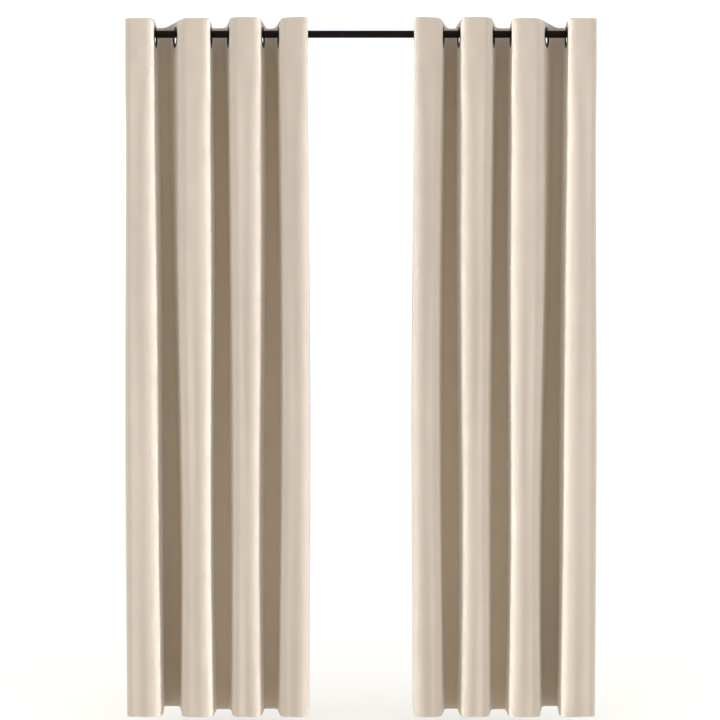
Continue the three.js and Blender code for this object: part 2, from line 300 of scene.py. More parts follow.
def fabric(name, colour, pitch):
    """A matt woven cloth with a soft sheen, uneven yarns and a faint mottle."""
    sheen = {"Sheen_Weight": 0.5, "Sheen_Roughness": 0.6, "Sheen_Tint": (1, 0.93, 0.82, 1)}
    shader = Material(name, colour, 0.82, **sheen)
    place = shader.node("ShaderNodeUVMap", uv_map=CLOTH_MAP).outputs[0]
    thick_yarn = 0.7 * MM
    weft = slubs(shader, place, 45 * MM, thick_yarn)
    warp = slubs(shader, place, thick_yarn, 60 * MM)
    yarn = shader.math("ADD", weft, warp)
    mottle = shader.noise(place, scale=9.0, detail=3.0)
    uneven = shader.math("ADD", shader.math("MULTIPLY", yarn, 0.5), mottle)
    halved = shader.math("MULTIPLY", uneven, 0.5)
    shader.tint(halved, dark=shade(colour, 0.9), pale=colour, dark_at=0.3, pale_at=0.7)
    shader.roughen(yarn, smooth=0.72, rough=0.9, low=0.6, high=1.4)
    weave = weave_height(shader, place, pitch)
    height = shader.math("ADD", shader.math("MULTIPLY", weave, 0.5), yarn)
    shader.bump(height, strength=0.25, distance=0.15 * MM)
    return shader.material


def powder_coat(name, colour, roughness):
    """Sprayed satin paint: a fine orange-peel surface, a little paler where it is worn."""
    shader = Material(name, colour, roughness, Specular_IOR_Level=0.08)
    place = shader.node("ShaderNodeTexCoord").outputs["Object"]
    cloud = shader.noise(place, scale=14.0, detail=4.0)
    shader.tint(cloud, dark=colour, pale=shade(colour, 1.7), dark_at=0.35, pale_at=0.75)
    shader.roughen(cloud, smooth=roughness - 0.06, rough=roughness + 0.08)
    peel = shader.noise(place, scale=900.0, detail=3.0)
    shader.bump(peel, strength=0.2, distance=0.05 * MM)
    return shader.material


def moulded(name, colour, roughness):
    """Moulded plastic: an even colour with a very fine texture and faint flow marks."""
    shader = Material(name, colour, roughness, Specular_IOR_Level=0.1)
    place = shader.node("ShaderNodeTexCoord").outputs["Object"]
    flow = shader.noise(place, scale=60.0, detail=3.0)
    shader.wire(shader.blend(flow, colour, shade(colour, 1.3)), "Base Color")
    shader.roughen(flow, smooth=roughness - 0.05, rough=roughness + 0.07)
    grain = shader.noise(place, scale=1500.0, detail=2.0)
    shader.bump(grain, strength=0.15, distance=0.03 * MM)
    return shader.material


def pale_floor():
    """A matt pale floor, a little smoother in places."""
    shader = Material("pale_floor", (0.98, 0.93, 0.84), 0.6)
    place = shader.node("ShaderNodeTexCoord").outputs["Object"]
    cloud = shader.noise(place, scale=3.0, detail=3.0)
    shader.roughen(cloud, smooth=0.5, rough=0.65)
    return shader.material


CREAM = (0.541, 0.482, 0.418)
LOOKS = {
    "curtain_cloth": fabric("curtain_cloth", CREAM, 0.55 * MM),
    "header_tape": fabric("header_tape", (0.78, 0.76, 0.70), 0.9 * MM),
    "thread": fabric("sewing_thread", (0.66, 0.59, 0.49), 0.2 * MM),
    "rod_metal": powder_coat("rod_metal", (0.006, 0.004, 0.003), 0.5),
    "screw_steel": powder_coat("screw_steel", (0.03, 0.03, 0.03), 0.34),
    "grommet_plastic": moulded("grommet_plastic", (0.016, 0.010, 0.006), 0.4),
    "bush_plastic": moulded("bush_plastic", (0.02, 0.02, 0.02), 0.5),
}


def finished(obj, body, slot, *nodes, look=None):
    """Gives a piece the material for its slot and its body where it moves as one, and hides the nodes it
    replaces.
    """
    obj.data.materials.clear()
    obj.data.materials.append(LOOKS[look or slot])
    if body:
        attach(obj, body)
    if nodes:
        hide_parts(*nodes)


# ---- The cloth's line ----


def downward(z):
    """How far down a panel z is: 0 in its header, 1 at its hem."""
    return np.clip((HEADER_BOTTOM - z) / (HEADER_BOTTOM - PANEL_LOW.z), 0, 1)


def eased(t):
    """Goes from 0 to 1 as t does, and starts and ends level."""
    return t * t * (3 - 2 * t)


def mix(pair, share):
    """The first of a pair where share is 0, and the second where it is 1."""
    return pair[0] + (pair[1] - pair[0]) * share


def fold_corners(z):
    """The corners that the cloth turns at the heights z, and how far from each it leaves its line and
    meets its next: as (heights, corners, 2) twice."""
    down = downward(z)
    loose = eased(np.clip(down / FREE_BY, 0, 1))
    above_grommets = eased(np.clip((z - FLAT_TOP) / (PANEL_HIGH.z - FLAT_TOP), 0, 1))

    def at(i, y):
        edge, header, hem, drift, bow, sway = WALLS[i]
        moved = drift * down + bow * np.sin(math.pi * down) + sway * np.sin(2 * math.pi * down)
        x = RINGS[i].x + moved * MM
        lean = mix((header, hem), down) + (edge - header) * above_grommets
        return np.stack([x - y * np.tan(np.radians(lean)), ROD_AXIS.y + y + 0 * x], -1)

    corners = [at(0, SIDE_MARGIN)]
    reaches = [np.zeros((len(z), 2))]
    for i in range(GROMMETS - 1):
        front = i % 2 == 0
        depth = -FRONT_DEPTH if front else mix((BACK_DEPTH, BACKS_AT_HEM[i // 2]), down)
        tilt = FRONT_TILTS[i // 2] * MM if front else 0
        first, second = at(i, depth), at(i + 1, depth - tilt)
        width = np.linalg.norm(second - first, axis=1)
        into, out_of = (OUTER_TURN, INNER_TURN) if front else (INTO_BACK_TURN, OUT_OF_BACK_TURN)
        wall_reach, face_share = (mix(pair, loose) for pair in zip(*into))
        reaches.append(np.stack([wall_reach, face_share * width], -1))
        wall_reach, face_share = (mix(pair, loose) for pair in zip(*out_of))
        reaches.append(np.stack([face_share * width, wall_reach], -1))
        corners += [first, second]
    corners.append(at(GROMMETS - 1, SIDE_MARGIN))
    reaches.append(np.zeros((len(z), 2)))
    return np.stack(corners, 1), np.stack(reaches, 1)


TURN_COLUMNS = 9
HALF_WAY = np.array([(PANEL_LOW.z + PANEL_HIGH.z) / 2])


def edge_columns():
    """How many columns each straight part takes, from its length half-way down."""
    corners, reaches = fold_corners(HALF_WAY)
    lengths = np.linalg.norm(np.diff(corners[0], axis=0), axis=1) - reaches[0, :-1, 1] - reaches[0, 1:, 0]
    return np.maximum(2, np.round(lengths / STEP)).astype(int)


EDGE_COLUMNS = edge_columns()


def fold_line(z):
    """The cloth's line seen from above at the heights z, as (heights, columns, 2)."""
    corners, reaches = fold_corners(z)
    edges = np.diff(corners, axis=1)
    edges /= np.linalg.norm(edges, axis=2, keepdims=True)
    starts = corners[:, :-1] + edges * reaches[:, :-1, 1:]
    ends = corners[:, 1:] - edges * reaches[:, 1:, :1]
    parts = []
    for k, columns in enumerate(EDGE_COLUMNS):
        share = np.linspace(0, 1, columns, endpoint=False)[None, :, None]
        parts.append(mix((starts[:, k : k + 1], ends[:, k : k + 1]), share))
        if k + 1 < len(EDGE_COLUMNS):
            share = np.linspace(0, 1, TURN_COLUMNS, endpoint=False)[None, :, None]
            corner = corners[:, k + 1 : k + 2]
            leaving, meeting = ends[:, k : k + 1], starts[:, k + 1 : k + 2]
            parts.append(mix((mix((leaving, corner), share), mix((corner, meeting), share)), share))
    return np.concatenate([*parts, ends[:, -1:]], 1)


def along_and_out(line):
    """Unit vectors along the line and out of the cloth's face."""
    along = np.gradient(line, axis=1)
    along /= np.linalg.norm(along, axis=2, keepdims=True)
    return along, np.stack([along[..., 1], -along[..., 0]], -1)


HEADER_LINE = fold_line(np.array([RINGS[0].z]))[0]
ACROSS = np.concatenate([[0], np.cumsum(np.linalg.norm(np.diff(HEADER_LINE, axis=0), axis=1))])
CROSSINGS = [ACROSS[np.linalg.norm(HEADER_LINE - ring.xy, axis=1).argmin()] for ring in RINGS]


# Soft unevenness: how high each wave is, and the two sines whose product it is. Each sine's phase goes by the
# metre across the cloth, by the whole way down it, and by what it starts with.
WAVES = [
    (1.3 * MM, (33, 4.0, 0.0), (9, 3.1, 0.0)),
    (0.6 * MM, (71, -7.0, 1.1), (0, 6.3, 2.0)),
]
UNEVEN_BY = 1 / 8  # the share of the way down by which the waves are at their full height
RIDGE = 1.2 * MM  # stands up the middle of a front fold's face where it leaves the header
RIDGE_DROP, RIDGE_HEIGHT = 6 * MM, 24 * MM  # from the header to its middle, and from there to its fading
RIDGE_WIDTH = 1 / 5  # of half the face


def wrinkles(z):
    """How far the cloth stands out of its own line, at the heights z and the line's columns."""
    down = downward(z)[:, None]
    across = ACROSS[None, :]
    free = eased(np.clip(down / UNEVEN_BY, 0, 1))
    waves = 0
    for height, *phases in WAVES:
        first, second = (np.sin(aside * across + drop * down + start) for aside, drop, start in phases)
        waves = waves + height * first * second * free
    near_header = np.exp(-(((z[:, None] - HEADER_BOTTOM + RIDGE_DROP) / RIDGE_HEIGHT) ** 2))
    for first, second in zip(CROSSINGS[::2], CROSSINGS[1::2]):
        from_middle = np.clip((across - (first + second) / 2) / (second - first) * 2, -1, 1)
        waves = waves - FRONT_HOLLOW * free * np.cos(from_middle * math.pi / 2) ** 2
        waves = waves + RIDGE * np.exp(-((from_middle / RIDGE_WIDTH) ** 2)) * near_header
    return waves


def top_edge(z):
    """How far the header's uneven top edge lifts the cloth, at the heights z and the line's columns."""
    middles = [(first + second) / 2 for first, second in zip(CROSSINGS, CROSSINGS[1:])]
    share = np.clip((z - RINGS[0].z) / (PANEL_HIGH.z - RINGS[0].z), 0, 1)
    return share[:, None] * np.interp(ACROSS, middles, np.array(FOLD_TOPS) * MM)[None, :]


def cloth_points(rows, columns):
    """Points of a sheet. A row is (z, out, turn): how far its layer is out from the cloth's line, and
    its own face's direction from level, in radians. A column is (index in the line, past, out): how
    far it runs on past that point, and how far it is out from its layer."""
    z, out, turn = (np.array(values) for values in zip(*rows))
    index, past, hem = (np.array(values) for values in zip(*columns))
    line = fold_line(z)
    along, face = along_and_out(line)
    line = line + face * wrinkles(z)[..., None]
    line, along, face = line[:, index], along[:, index], face[:, index]
    outward = out[:, None] + np.cos(turn)[:, None] * hem[None, :]
    flat = line + face * outward[..., None] + along * past[None, :, None]
    height = z[:, None] + np.sin(turn)[:, None] * hem[None, :] + top_edge(z)[:, index]
    return np.concatenate([flat, height[..., None]], -1)


# ---- The panels ----


def angles_inside(start, end, steps):
    """Angles inside a turn, without its two ends."""
    return np.linspace(start, end, steps + 2)[1:-1]


def heights(start, end, step):
    return np.linspace(start, end, max(2, round(abs(end - start) / step) + 1))


def panel_rows():
    """From the edge of the header's turn-down over the top, down the face and up the hem."""
    top = PANEL_HIGH.z - LAYER - CLOTH / 2
    bottom = PANEL_LOW.z + LAYER + CLOTH / 2
    below_header = HEADER_BOTTOM - 30 * MM
    hem_top = bottom + HEM_HEIGHT
    header_step, body_step, hem_step = 4.5 * MM, 20 * MM, 10 * MM
    rows = [(z, -LAYER, math.pi) for z in heights(HEADER_BOTTOM, top, header_step)]
    rows += [(top + LAYER * math.sin(a), LAYER * math.cos(a), a) for a in angles_inside(math.pi, 0, 3)]
    rows += [(z, LAYER, 0.0) for z in heights(top, below_header, header_step)]
    rows += [(z, LAYER, 0.0) for z in heights(below_header, hem_top, body_step)[1:]]
    rows += [(z, LAYER, 0.0) for z in heights(hem_top, bottom, hem_step)[1:]]
    rows += [(bottom + LAYER * math.sin(a), LAYER * math.cos(a), a) for a in angles_inside(0, -math.pi, 5)]
    rows += [(z, -LAYER, -math.pi) for z in heights(bottom, hem_top, hem_step)]
    return rows


def panel_columns():
    """The line's columns, with each side edge turned back behind the cloth as a side hem."""
    last = len(ACROSS) - 1
    radius = HEM_STEP / 2
    hem = [k for k in range(last) if ACROSS[k] < SIDE_HEM]
    edge = [(radius * math.sin(a), radius * (math.cos(a) - 1)) for a in angles_inside(0, math.pi, 3)]
    columns = [(k, 0.0, -HEM_STEP) for k in reversed(hem)]
    columns += [(0, -past, out) for past, out in reversed(edge)]
    columns += [(k, 0.0, 0.0) for k in range(last + 1)]
    columns += [(last, past, out) for past, out in edge]
    columns += [(last - k, 0.0, -HEM_STEP) for k in hem]
    return columns


def open_grommet_holes(points, quads):
    """Draws the points inside each grommet's hole out to its edge, and drops the quads that were in it."""
    flat = points.reshape(-1, 3)  # the same points, so that they move in both
    inside = np.zeros(len(flat), bool)
    for ring, lean in zip(RINGS, LEANS):
        wall = np.array([-math.sin(lean), math.cos(lean), 0])
        out = np.array([math.cos(lean), math.sin(lean), 0])
        away = flat - np.array(ring)
        across, up = away @ wall, away[:, 2]
        distance = np.hypot(across, up)
        near = (np.abs(away @ out) < HOLE_REACH) & (distance < HOLE_RADIUS)
        grow = (HOLE_RADIUS / np.maximum(distance[near], SAME_PLACE) - 1)[:, None]
        flat[near] += grow * (across[near, None] * wall + up[near, None] * np.array([0, 0, 1]))
        inside |= near
    return flat, quads[~inside[quads].all(1)]


def places_on_flat_cloth(points, columns):
    """How far across the flat cloth and how far down it each point of a sheet is."""
    across = np.array([ACROSS[index] + past - out for index, past, out in columns])
    steps = np.linalg.norm(np.diff(points[:, 0, :], axis=0), axis=1)
    down = np.concatenate([[0], np.cumsum(steps)])
    return np.stack(np.broadcast_arrays(across[None, :], down[:, None]), -1).reshape(-1, 2)


def lay_out_weave(obj, places):
    """Maps the weave onto a sheet from its vertices' places on the flat cloth."""
    corners = np.empty(len(obj.data.loops), int)
    obj.data.loops.foreach_get("vertex_index", corners)
    cloth_map = obj.data.uv_layers.new(name=CLOTH_MAP)
    cloth_map.data.foreach_set("uv", places[corners].astype(np.float32).ravel())


def sheet_object(name, rows, columns, thickness, mirror):
    """A sheet of cloth with real thickness, its grommet holes open and its weave laid out flat."""
    points = cloth_points(rows, columns)
    flat, quads = open_grommet_holes(points, grid_quads(*points.shape[:2]))
    used = np.unique(quads)
    number = np.full(len(flat), -1)
    number[used] = np.arange(len(used))
    if mirror:
        flat = flat * MIRROR
        quads = quads[:, ::-1]
    obj = new_object(name, flat[used], number[quads])
    lay_out_weave(obj, places_on_flat_cloth(points, columns)[used])
    solid = obj.modifiers.new("thickness", "SOLIDIFY")
    solid.thickness = thickness
    solid.offset = 0
    apply_modifiers(obj)
    obj.data.set_sharp_from_angle(angle=SHARP_IN_CLOTH)
    return obj


def hang(obj):
    """Bakes the piece's place into its own mesh."""
    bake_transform(obj)


STITCH = 2.6 * MM
STITCH_PITCH = 3.4 * MM
STITCH_SIDES = 6
STITCH_PROFILE = [(0, 0.15), (0.12, 0.8), (0.5, 1), (0.88, 0.8), (1, 0.15)]  # shares of length and radius
THREAD = 0.22 * MM  # radius
HEADER_SEAMS = (3 * MM, 9 * MM)  # above the header's lower edge
SEAM_INSET = 4 * MM  # from a hem's inner edge, and from a level seam's ends to the panel's sides
UPRIGHT_SEAM_INSET = 6 * MM  # from an upright seam's ends to the panel's top and bottom


def stitch_mesh(name, ends, mirror):
    """A short length of thread with rounded ends for each pair of ends."""
    starts, stops = (np.array(values) for values in zip(*ends))
    forward = stops - starts
    length = np.linalg.norm(forward, axis=1, keepdims=True)
    forward /= length
    upright = np.abs(forward[:, 2:]) > 0.9
    aside = np.cross(forward, np.where(upright, [1.0, 0, 0], [0, 0, 1.0]))
    aside /= np.linalg.norm(aside, axis=1, keepdims=True)
    up = np.cross(aside, forward)
    angles = np.linspace(0, 2 * math.pi, STITCH_SIDES, endpoint=False)
    rings = []
    for along, radius in STITCH_PROFILE:
        centre = starts + forward * length * along
        around = [centre + THREAD * radius * (aside * math.cos(a) + up * math.sin(a)) for a in angles]
        rings.append(np.stack(around, 1))
    points = np.stack(rings, 1).reshape(-1, 3)
    tube = grid_quads(len(STITCH_PROFILE), STITCH_SIDES, closed=True)
    per_stitch = len(STITCH_PROFILE) * STITCH_SIDES
    faces = []
    for first in range(0, len(points), per_stitch):
        last = first + per_stitch
        faces += (tube + first).tolist()
        faces.append(list(range(first, first + STITCH_SIDES))[::-1])
        faces.append(list(range(last - STITCH_SIDES, last)))
    if mirror:
        points = points * MIRROR
        faces = [face[::-1] for face in faces]
    return new_object(name, points, faces)


def level_stitches(z, out):
    """Stitches across the panel at the height z."""
    columns = [(k, 0.0, 0.0) for k in range(len(ACROSS))]
    path = cloth_points([(z, out, 0.0)], columns)[0]

    def at(across):
        return np.stack([np.interp(across, ACROSS, path[:, i]) for i in range(3)], -1)

    starts = np.arange(SEAM_INSET, ACROSS[-1] - SEAM_INSET, STITCH_PITCH)
    return list(zip(at(starts), at(starts + STITCH)))


def upright_stitches(inset, out):
    """Stitches up the panel, inset from its outer edge, or from its leading edge if negative."""
    seam = inset if inset > 0 else ACROSS[-1] + inset
    column = int(np.abs(ACROSS - seam).argmin())

    def at(z):
        rows = [(height, out, 0.0) for height in z]
        return cloth_points(rows, [(column, 0.0, 0.0)])[:, 0]

    starts = np.arange(PANEL_LOW.z + UPRIGHT_SEAM_INSET, PANEL_HIGH.z - UPRIGHT_SEAM_INSET, STITCH_PITCH)
    return list(zip(at(starts), at(starts + STITCH)))


def stitching(side, mirror):
    """The thread that closes the header, the hem and the two side hems."""
    front = LAYER + CLOTH / 2 + THREAD / 2
    level_seams = [HEADER_BOTTOM + inset for inset in HEADER_SEAMS]
    level_seams.append(PANEL_LOW.z + HEM_HEIGHT - SEAM_INSET)
    ends = []
    for z in level_seams:
        ends += level_stitches(z, front)
        ends += level_stitches(z, -front)
    for inset in (SIDE_HEM - SEAM_INSET, SEAM_INSET - SIDE_HEM):
        ends += upright_stitches(inset, front)
    return stitch_mesh(f"{side}_stitching", ends, mirror)


TAPE = 0.4 * MM  # thickness
TAPE_INSET = 32 * MM  # from the panel's sides
TAPE_RISE = 2 * MM  # above the header's lower edge
TAPE_STEP = 5 * MM


def make_panel(side):
    """The sheet of cloth, the tape inside its header and the thread that sews it."""
    mirror = side == "right"
    cloth = sheet_object(f"{side}_curtain", panel_rows(), panel_columns(), CLOTH, mirror)
    hang(cloth)
    finished(cloth, None, "curtain_cloth", f"{side}_curtain_panel")

    rows = [(z, 0.0, 0.0) for z in heights(HEADER_BOTTOM + TAPE_RISE, TAPE_HIGH.z, TAPE_STEP)]
    columns = [(k, 0.0, 0.0) for k, s in enumerate(ACROSS) if TAPE_INSET < s < ACROSS[-1] - TAPE_INSET]
    tape = sheet_object(f"{side}_stiffening_tape", rows, columns, TAPE, mirror)
    hang(tape)
    finished(tape, None, "header_tape", f"{side}_header_tape")

    thread = stitching(side, mirror)
    thread.data.uv_layers.new(name=CLOTH_MAP)
    hang(thread)
    finished(thread, None, "curtain_cloth", look="thread")


# ---- Grommets ----

BORE = 21.5 * MM
BARREL = 0.9 * MM  # thickness of the barrel's wall
FLANGE_INNER = LAYER + 0.7 * CLOTH  # from the header's middle
FLANGE_OUTER = 2.3 * MM
RIM = 0.45 * MM  # rounding of a flange's outer edge
LIP = 1.5 * MM  # rounding of the bore's edges
CROWN_RADIUS = 26 * MM  # a flange is thickest here
SHOULDER_INSET, SHOULDER_DROP = 2.5 * MM, 0.12 * MM  # of a flange's dome, from its rim and its crown
SNAP_GAP = 0.3 * MM  # from the barrel's rolled edge to the back ring
BACK_DROP = 0.1 * MM  # of the back ring's inner edge, from its crown
GROMMET_SIDES = 72


def flange(inner_edge):
    """The outer side of a flange, from its inner edge out round its rim and up to its crown."""
    return [
        (inner_edge, FLANGE_INNER),
        *arc_points((GROMMET_RADIUS - RIM, FLANGE_INNER + RIM), RIM, -90, 70),
        (GROMMET_RADIUS - SHOULDER_INSET, FLANGE_OUTER - SHOULDER_DROP),
        (CROWN_RADIUS, FLANGE_OUTER),
    ]


def grommet_face(name):
    """A domed flange, and a barrel through the cloth with its far edge rolled over."""
    profile = flange(BORE + BARREL)
    profile += arc_points((BORE + LIP, FLANGE_OUTER - LIP), LIP, 90, 180)
    profile += arc_points((BORE + LIP, LIP - FLANGE_OUTER), LIP, 180, 270)
    profile += [(BORE + BARREL, LIP - FLANGE_OUTER), (BORE + BARREL, FLANGE_INNER)]
    return lathe(name, profile, GROMMET_SIDES)


def grommet_back(name):
    """A ring that snaps onto the barrel from behind."""
    bore = BORE + LIP + SNAP_GAP
    profile = flange(bore)
    profile += arc_points((bore + RIM, FLANGE_OUTER - BACK_DROP - RIM), RIM, 90, 180)
    profile += [(bore, FLANGE_INNER)]
    return lathe(name, [(radius, -x) for radius, x in profile], GROMMET_SIDES)


def make_grommets(side):
    """A panel's grommets, each turned square to the cloth; the first one stays with the rod."""
    for i, (ring, lean) in enumerate(zip(RINGS, LEANS), 1):
        body = "rod" if i == 1 else f"{side}_ring_{i}"
        turn = lean if i % 2 == 0 else lean + math.pi
        if side == "right":
            ring, turn = Vector((-ring.x, ring.y, ring.z)), math.pi - turn
        place = Matrix.Translation(ring) @ Matrix.Rotation(turn, 4, "Z")
        for half, make in (("face", grommet_face), ("back", grommet_back)):
            piece = make(f"{side}_grommet_{i}_{half}_ring")
            piece.data.transform(place)
            finished(piece, body, "grommet_plastic", f"{side}_grommet_{i}_{half}")


# ---- Rod ----

TUBE_SIDES = 96
TUBE_WALL = 0.8 * MM
TUBE_EDGE = 0.25 * MM
BUSH_GAP = 0.3 * MM
BUSH_EDGE = 0.6 * MM
CAP_FLANGE = 4 * MM  # the length that shows past the tube
CAP_GAP = 0.4 * MM
CAP_CHAMFER = 0.5 * MM
CAP_EDGE = 0.6 * MM
CAP_DOME = 2.6 * MM
CAP_CROWN = 0.2 * MM  # the height of a cap's nearly flat middle


def centred_on_rod(obj, x=0.0, turn=0.0):
    """Moves a piece made about the X axis to the rod's axis, turned about +Z and with its origin at x."""
    obj.data.transform(Matrix.Translation((x, ROD_AXIS.y, ROD_AXIS.z)) @ Matrix.Rotation(turn, 4, "Z"))
    return obj


def tube(name, node, radius):
    """A hollow tube with its ends' edges eased."""
    low, high = (corner.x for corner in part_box(node))
    bore = radius - TUBE_WALL
    profile = [(bore, low + TUBE_EDGE), (bore + TUBE_EDGE, low)]
    profile += [(radius - TUBE_EDGE, low), (radius, low + TUBE_EDGE)]
    profile += [(radius, high - TUBE_EDGE), (radius - TUBE_EDGE, high)]
    profile += [(bore + TUBE_EDGE, high), (bore, high - TUBE_EDGE)]
    return centred_on_rod(lathe(name, [*profile, profile[0]], TUBE_SIDES))


def mouth_bush(name, node):
    """The ring at the outer tube's mouth that the inner tube slides through."""
    low, high = (corner.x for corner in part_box(node))
    bore, radius = INNER_TUBE_RADIUS + BUSH_GAP, node_size(node).z / 2
    profile = [(bore, low), (radius, low), (radius, high - BUSH_EDGE), (radius - BUSH_EDGE, high)]
    profile += [(bore + BUSH_EDGE / 2, high), (bore, high - BUSH_EDGE / 2)]
    return centred_on_rod(lathe(name, [*profile, profile[0]], TUBE_SIDES))


def end_cap(name, node, bore, outwards):
    """A turned plug with a domed face."""
    size, centre = node_size(node), node_centre(node)
    radius, plug = size.z / 2, bore - CAP_GAP
    back = size.x - CAP_FLANGE
    profile = [(0, 0), (plug - CAP_CHAMFER, 0), (plug, CAP_CHAMFER), (plug, back)]
    profile += arc_points((radius - CAP_EDGE, back + CAP_EDGE), CAP_EDGE, -90, 0)
    profile += arc_points((radius - CAP_DOME, size.x - CAP_DOME - CAP_CROWN), CAP_DOME, 0, 75, steps=9)
    profile += [(radius / 2, size.x - CAP_CROWN / 4), (0, size.x)]
    cap = lathe(name, profile, TUBE_SIDES)
    return centred_on_rod(cap, centre.x - outwards * size.x / 2, 0.0 if outwards > 0 else math.pi)


def make_rod():
    outer = tube("rod_outer_tube", "outer_tube", ROD_RADIUS)
    finished(outer, "rod", "rod_metal", "outer_tube")
    inner = tube("rod_inner_tube", "inner_tube", INNER_TUBE_RADIUS)
    finished(inner, "inner_tube", "rod_metal", "inner_tube")
    bush = mouth_bush("rod_mouth_bush", "tube_mouth_bush")
    finished(bush, "rod", "bush_plastic", "tube_mouth_bush")
    left = end_cap("rod_left_cap", "left_end_cap", ROD_RADIUS - TUBE_WALL, outwards=-1)
    finished(left, "rod", "rod_metal", "left_end_cap")
    right = end_cap("rod_right_cap", "right_end_cap", INNER_TUBE_RADIUS - TUBE_WALL, outwards=1)
    finished(right, "inner_tube", "rod_metal", "right_end_cap")


# ---- Brackets ----

FROM_THE_SIDE = Matrix(((0, 0, 1, 0), (1, 0, 0, 0), (0, 1, 0, 0), (0, 0, 0, 1)))
FROM_THE_FRONT = Matrix(((1, 0, 0, 0), (0, 0, -1, 0), (0, 1, 0, 0), (0, 0, 0, 1)))
TOWARDS_ROOM = Matrix.Rotation(-math.pi / 2, 4, "Z")  # turns +X to -Y
BRACKET_EDGE = 0.5 * MM
CRADLE_GAP = 0.3 * MM
CRADLE_LIP = 7 * MM  # above the rod's axis
BAR_HEIGHT = 8 * MM
FOOT_THICKNESS = 4 * MM
SET_SCREW_HOLE = 2.6 * MM  # radius
WALL_SCREW_HOLE = 2.8 * MM
HOLE_SIDES = 48


def flat_piece(name, outlines, thickness, place):
    """A plate cut to its outlines, the later ones being holes, with eased edges, centred on its plane."""
    curve = bpy.data.curves.new(name, "CURVE")
    curve.dimensions = "2D"
    curve.fill_mode = "BOTH"
    curve.extrude = thickness / 2 - BRACKET_EDGE
    curve.bevel_depth = BRACKET_EDGE
    curve.bevel_resolution = 2
    curve.offset = -BRACKET_EDGE
    for outline in outlines:
        spline = curve.splines.new("POLY")
        spline.points.add(len(outline) - 1)
        for point, (x, y) in zip(spline.points, outline):
            point.co = (x, y, 0, 1)
        spline.use_cyclic_u = True
    shape = link(bpy.data.objects.new(name, curve))
    bpy.context.view_layer.update()
    mesh = bpy.data.meshes.new_from_object(shape.evaluated_get(bpy.context.evaluated_depsgraph_get()))
    bpy.data.objects.remove(shape)
    obj = link(bpy.data.objects.new(name, mesh))
    mesh.transform(place)
    mesh.shade_smooth()
    weld_and_face_out(obj)
    return obj


def cut(obj, *cutters):
    """Cuts the cutters' shapes out of a piece and removes them."""
    for cutter in cutters:
        modifier = obj.modifiers.new("cut", "BOOLEAN")
        modifier.object = cutter
        modifier.solver = "EXACT"
    apply_modifiers(obj)
    for cutter in cutters:
        bpy.data.objects.remove(cutter)
    obj.data.set_sharp_from_angle(angle=SHARP_CUT)


def bracket_arm(side):
    """A cradle open at the top, a bar back to the wall and a foot on the plate."""
    node = f"{side}_bracket_arm"
    low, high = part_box(node)
    outside = ROD_AXIS.y - low.y
    cradle = ROD_RADIUS + CRADLE_GAP
    foot_back = high.y - ROD_AXIS.y
    foot_front = foot_back - FOOT_THICKNESS
    bar_bottom, bar_top = -outside, -outside + BAR_HEIGHT
    foot_low = low.z - ROD_AXIS.z
    foot_high = bar_top + (bar_bottom - foot_low)
    bar_meets_cradle = math.degrees(math.asin(bar_top / outside))
    outline = [(-outside, CRADLE_LIP)]
    outline += arc_points((0, 0), outside, 180, 270, steps=24)
    outline += [(foot_front, bar_bottom), (foot_front, foot_low), (foot_back, foot_low)]
    outline += [(foot_back, foot_high), (foot_front, foot_high), (foot_front, bar_top)]
    outline += arc_points((0, 0), outside, bar_meets_cradle, 0, steps=8)
    outline += [(outside, CRADLE_LIP), (cradle, CRADLE_LIP)]
    outline += arc_points((0, 0), cradle, 0, -180, steps=36)
    outline += [(-cradle, CRADLE_LIP)]
    middle = (low.x + high.x) / 2
    place = Matrix.Translation((middle, ROD_AXIS.y, ROD_AXIS.z)) @ FROM_THE_SIDE
    arm = flat_piece(f"{side}_arm", [outline], high.x - low.x, place)

    start, length = 8 * MM, 12 * MM  # of the drill, from inside the cradle out through its front lip
    drill = lathe("drill", [(0, 0), (SET_SCREW_HOLE, 0), (SET_SCREW_HOLE, length), (0, length)], HOLE_SIDES)
    drill.data.transform(Matrix.Translation((middle, ROD_AXIS.y - start, ROD_AXIS.z)) @ TOWARDS_ROOM)
    cut(arm, drill)
    finished(arm, "brackets", "rod_metal", node)


def wall_plate(side):
    """A flat plate with round ends and two screw holes."""
    node = f"{side}_wall_plate"
    size, centre = node_size(node), node_centre(node)
    radius = size.x / 2
    straight = size.z / 2 - radius
    outline = arc_points((0, straight), radius, 0, 180, steps=48)
    outline += arc_points((0, -straight), radius, 180, 360, steps=48)
    outlines = [outline]
    for place in ("upper", "lower"):
        z = node_centre(f"{side}_wall_screw_{place}").z - centre.z
        outlines.append(arc_points((0, z), WALL_SCREW_HOLE, 360, 360 / HOLE_SIDES, HOLE_SIDES))
    plate = flat_piece(f"{side}_plate", outlines, size.y, Matrix.Translation(centre) @ FROM_THE_FRONT)
    finished(plate, "brackets", "rod_metal", node)


GRIP, GRIP_LENGTH = 6.2 * MM, 5 * MM  # radius and length of a thumb screw's fluted head
GRIP_END = 0.9 * GRIP  # radius of its two ends
GRIP_BACK_BEVEL, GRIP_FRONT_BEVEL = 0.5 * MM, 0.8 * MM
GRIP_DISH = 0.3 * MM
FLUTE_DEPTH, FLUTE_INSET = 0.03, 0.1 * MM  # a share of the radius, and from the head's ends
CREST = 2.2 * MM  # radius of the thread
ROOT = 0.86 * CREST
TIP = 0.8 * CREST  # radius of the shank's end
THREAD_TURNS = 8
THREAD_FLANK = 0.4  # a share of the thread's pitch
KNURLED_SIDES = 96

